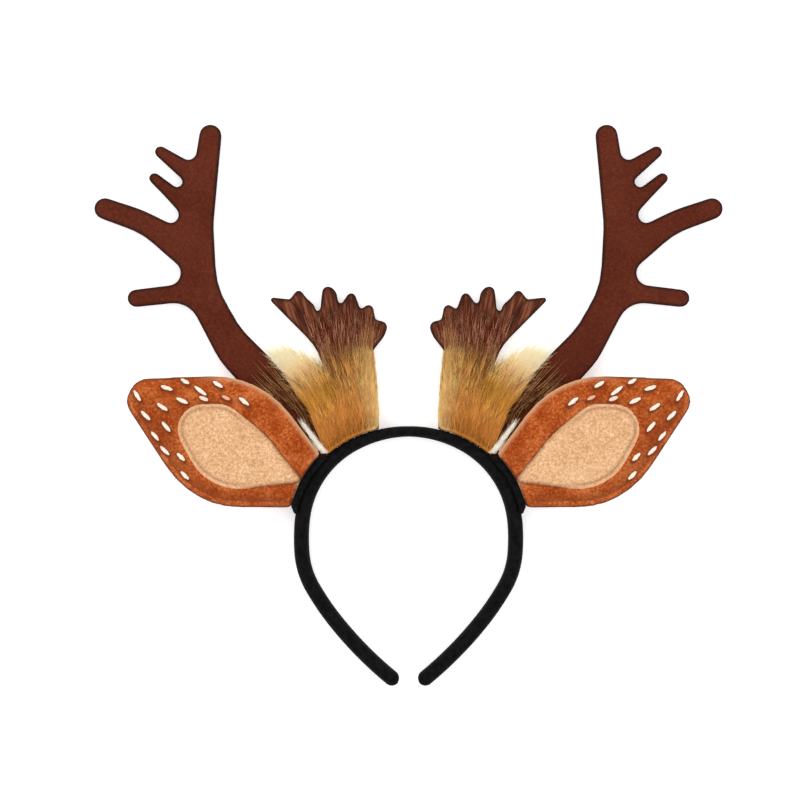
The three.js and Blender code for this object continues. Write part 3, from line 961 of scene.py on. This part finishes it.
rng = random.Random(7)
front_hairs = []
for _ in range(hair_counts["front"]):
    across = rng.uniform(-0.02, 0.95)
    reach = (pile_height + 4 * across) * mm
    start = reach * rng.uniform(-0.03, 0.84)
    length = rng.uniform(5, 13) * mm
    root = pile_place(across, start)
    tangled = rng.gauss(0, 9 if 0.1 < across < 0.8 and start < 20 * mm else 4)
    way = Matrix.Rotation(math.radians(tangled), 3, "Z") @ pile_way(across, start)
    turn = pile_lean(across, start + length) - pile_lean(across, start)
    end = root + way * length
    root.z = surface(root.x, root.y, 7.6 * mm) - rng.uniform(0.1, 0.4) * mm
    end_z = surface(end.x, end.y, 7.4 * mm) + rng.uniform(0, 0.5) * mm
    tone = lock_shade_and_tone(across, start, rng)
    low, high = pile_tint(across, start), pile_tint(across, start + length)
    browned = limited((start - 11 * mm) / (22 * mm)) * max(0, 1 - abs(across - 0.42) / 0.4)
    if rng.random() < 0.8 * browned:
        low = blended(low, srgb(104, 52, 30), 0.75)
        high = blended(high, srgb(112, 58, 34), 0.9)
    front_hairs.append({
        "root": root, "way": way, "length": length, "width": rng.uniform(0.11, 0.2) * mm,
        "sway": length * turn / 2 + rng.gauss(0, 1.0) * mm, "lift": rng.uniform(0.2, 0.8) * mm,
        "drop": max(-1.5 * mm, end_z - root.z),
        "low": varied(low, tone), "high": varied(high, 0.5 + 0.6 * tone),
    })
fur_bm = hair_piece(front_hairs)
for side, bm in both_sides(fur_bm):
    finish_piece(bm, "fur_hair_" + side, "fur_pile", hair_material)

back_hairs = []
for _ in range(hair_counts["back"]):
    across = rng.uniform(0, 0.93)
    start = pile_height * mm * rng.uniform(-0.03, 0.84)
    length = rng.uniform(8, 15) * mm
    root = pile_place(across, start)
    hit = mat_tree.ray_cast(Vector((root.x, root.y, -0.01)), Vector((0, 0, 1)))[0]
    root.z = max(0.9 * mm, (hit.z if hit and hit.z < 4 * mm else 1.6 * mm) + 0.2 * mm)
    tone = lock_shade_and_tone(across, start, rng)
    back_hairs.append({
        "root": root, "way": pile_way(across + rng.gauss(0, 0.04), start),
        "length": length, "width": rng.uniform(0.13, 0.22) * mm,
        "sway": rng.gauss(0, 0.6) * mm, "lift": rng.uniform(-0.8, -0.2) * mm,
        "drop": rng.uniform(-0.2, 0.5) * mm,
        "low": varied(pile_tint(across, start), tone),
        "high": varied(pile_tint(across, start + length), tone),
    })
# The side that faces the middle of the head is covered too.
for _ in range(hair_counts["inner side"]):
    across = rng.uniform(-0.04, -0.004)
    start = rng.uniform(-0.5, 27) * mm
    length = rng.uniform(6, 12) * mm
    root = pile_place(across, start)
    root.z = rng.uniform(1.4, 9.2) * mm
    tone = 0.2 + 0.8 * lock_shade_and_tone(root.z / (6 * mm), start, rng)
    way = pile_way(0, start) + Vector((rng.gauss(0, 0.04), 0, rng.gauss(0, 0.12)))
    back_hairs.append({
        "root": root, "way": way.normalized(),
        "length": length, "width": rng.uniform(0.12, 0.2) * mm,
        "sway": rng.gauss(0, 0.3) * mm, "lift": rng.gauss(0, 0.4) * mm,
        "drop": rng.uniform(-0.5, 0.5) * mm,
        "low": varied(pile_tint(0.17, start), tone),
        "high": varied(pile_tint(0.12, start + length), tone),
    })
under_bm = hair_piece(back_hairs)
for side, bm in both_sides(under_bm):
    finish_piece(bm, "fur_under_" + side, "fur_pile", hair_material)


# The palm's own hairs: fine golden strands from the fur that lie on the felt and fan out
# towards the fingers, fewer and browner the higher they lie.
palm_brown = srgb(124, 53, 31)
# The strands start at this share of the palm's height, where the fur itself thins out.
lowest_share = 0.42
palm_hairs = []
while len(palm_hairs) < hair_counts["palm"]:
    share = lowest_share + 0.57 * rng.random() ** 1.15
    x = rng.uniform(palm_low.x, palm_high.x)
    y = palm_low.y + share * (palm_high.y - palm_low.y)
    at = from_above(palm_tree, x, y)[0]
    if at is None or at.z < 6.5 * mm:
        continue
    fan = math.atan2(x - fan_centre.x, y - fan_centre.y)
    spread = rng.gauss(0, 0.09)
    way = Vector((math.sin(fan + spread), math.cos(fan + spread), 0))
    length = rng.uniform(4, 12) * mm
    while length > 1 * mm:
        end = at + way * length
        hit = from_above(palm_tree, end.x, end.y)[0]
        if hit is not None and hit.z > 5.5 * mm:
            break
        length -= 1 * mm
    else:
        continue
    pale_side = max(0, 1 - abs(x - palm_low.x - 8 * mm) / (7 * mm))
    gold = max(0, 0.85 + 0.7 * pale_side - (share - lowest_share) / 0.22)
    base = blended(palm_brown, srgb(226, 166, 96), gold * rng.uniform(0.5, 1))
    picked = rng.random()
    if picked < 0.3:
        base = blended(srgb(54, 20, 12), base, 0.2)
    elif picked > 0.78:
        base = blended(base, srgb(232, 176, 136), 0.8)
    palm_hairs.append({
        "root": at - Vector((0, 0, 0.1 * mm)), "way": way, "length": length,
        "width": rng.uniform(0.08, 0.15) * mm, "sway": rng.gauss(0, 0.4) * mm,
        "lift": rng.uniform(0.15, 0.4) * mm, "drop": hit.z + 0.15 * mm - at.z,
        "low": varied(base, rng.uniform(0.8, 1.1)), "high": varied(base, rng.uniform(0.9, 1.35)),
    })
palm_hair_bm = hair_piece(palm_hairs)
for side, bm in both_sides(palm_hair_bm):
    finish_piece(bm, "palm_hair_" + side, "fur_pile", hair_material)


# The wisp: the softest, palest hairs of the fur, standing free between palm and antler.
# Every hair of this piece glows a little in its own colour: painted light for the light that
# comes through thin hair. Longer strands run on over the foot of the antler.
wisp_material = hair_material.copy()
wisp_material.name = "fur_wisp"
nodes, links = wisp_material.node_tree.nodes, wisp_material.node_tree.links
shader = nodes["Principled BSDF"]
# Painted light: the hairs glow a little in their own colour.
links.new(shader.inputs["Base Color"].links[0].from_socket, shader.inputs["Emission Color"])
shader.inputs["Emission Strength"].default_value = 0.13
wisp_inner_edge = 0.52
wisp_hairs = []
for _ in range(hair_counts["wisp"]):
    across = wisp_inner_edge + 0.4 * rng.random()
    crest = 0.5 + 0.5 * math.sin(min(1, (across - wisp_inner_edge) / 0.34) * math.pi / 2)
    start = rng.uniform(14, 50) * mm * crest
    length = rng.uniform(4, 9) * mm
    root = pile_place(across, start)
    root.z = rng.uniform(3.2, 8.4) * mm
    way = Matrix.Rotation(math.radians(rng.gauss(-6, 11)), 3, "Z") @ pile_way(across, start)
    way.z = rng.gauss(0, 0.05)
    way.normalize()
    low, high = pile_tint(across, start), pile_tint(across, start + length)
    wisp_hairs.append({
        "root": root, "way": way, "length": length, "width": rng.uniform(0.06, 0.12) * mm,
        "sway": rng.gauss(0.5, 0.8) * mm, "lift": rng.uniform(-0.3, 0.6) * mm,
        "drop": rng.uniform(-0.6, 0.6) * mm,
        "low": varied(low, rng.uniform(0.9, 1.35)), "high": varied(high, rng.uniform(1.1, 1.5)),
    })
# Dark and golden strands that lie along the foot of the antler, where the fur ends.
antler_strands = (
    srgb(58, 25, 16), srgb(64, 28, 17), srgb(84, 40, 24), srgb(128, 78, 44), srgb(222, 168, 106)
)
for _ in range(hair_counts["antler foot"]):
    across = rng.uniform(0.93, 1.12)
    start = rng.uniform(9, 41) * mm
    length = rng.uniform(7, 16) * mm
    root = pile_place(across, start)
    root.z = rng.uniform(7.9, 8.3) * mm
    way = Matrix.Rotation(math.radians(rng.gauss(1, 2.5)), 3, "Z") @ pile_way(across, start)
    base = varied(rng.choice(antler_strands), rng.uniform(0.7, 1.3))
    wisp_hairs.append({
        "root": root, "way": way, "length": length, "width": rng.uniform(0.07, 0.13) * mm,
        "sway": rng.gauss(0, 0.4) * mm, "lift": rng.uniform(0, 0.2) * mm,
        "drop": rng.uniform(-0.3, 0) * mm, "low": base, "high": base,
    })
# A thin white tuft of under-hair stands out between the fur and the ear.
tuft_low, tuft_high = Vector((36.9, -21.6, 9.6)) * mm, Vector((45.6, -10.2, 9.4)) * mm
for _ in range(hair_counts["white tuft"]):
    at = rng.random() ** 1.3
    root = tuft_low.lerp(tuft_high, at)
    root.x += rng.gauss(0, 0.8) * mm * (1 - 0.6 * at)
    root.z += rng.uniform(0.4, 2.8) * mm
    way = (tuft_high - tuft_low).normalized() + Vector((rng.gauss(0, 0.08), 0, 0))
    pale = varied(srgb(252, 242, 228), rng.uniform(0.95, 1.2))
    wisp_hairs.append({
        "root": root, "way": way.normalized(), "length": rng.uniform(3, 6) * mm,
        "width": rng.uniform(0.09, 0.15) * mm, "sway": rng.gauss(-0.2, 0.5) * mm,
        "lift": rng.uniform(0, 0.3) * mm, "drop": 0, "low": pale, "high": pale,
    })
wisp_bm = hair_piece(wisp_hairs)
for side, bm in both_sides(wisp_bm):
    finish_piece(bm, "fur_wisp_" + side, "fur_pile", wisp_material)
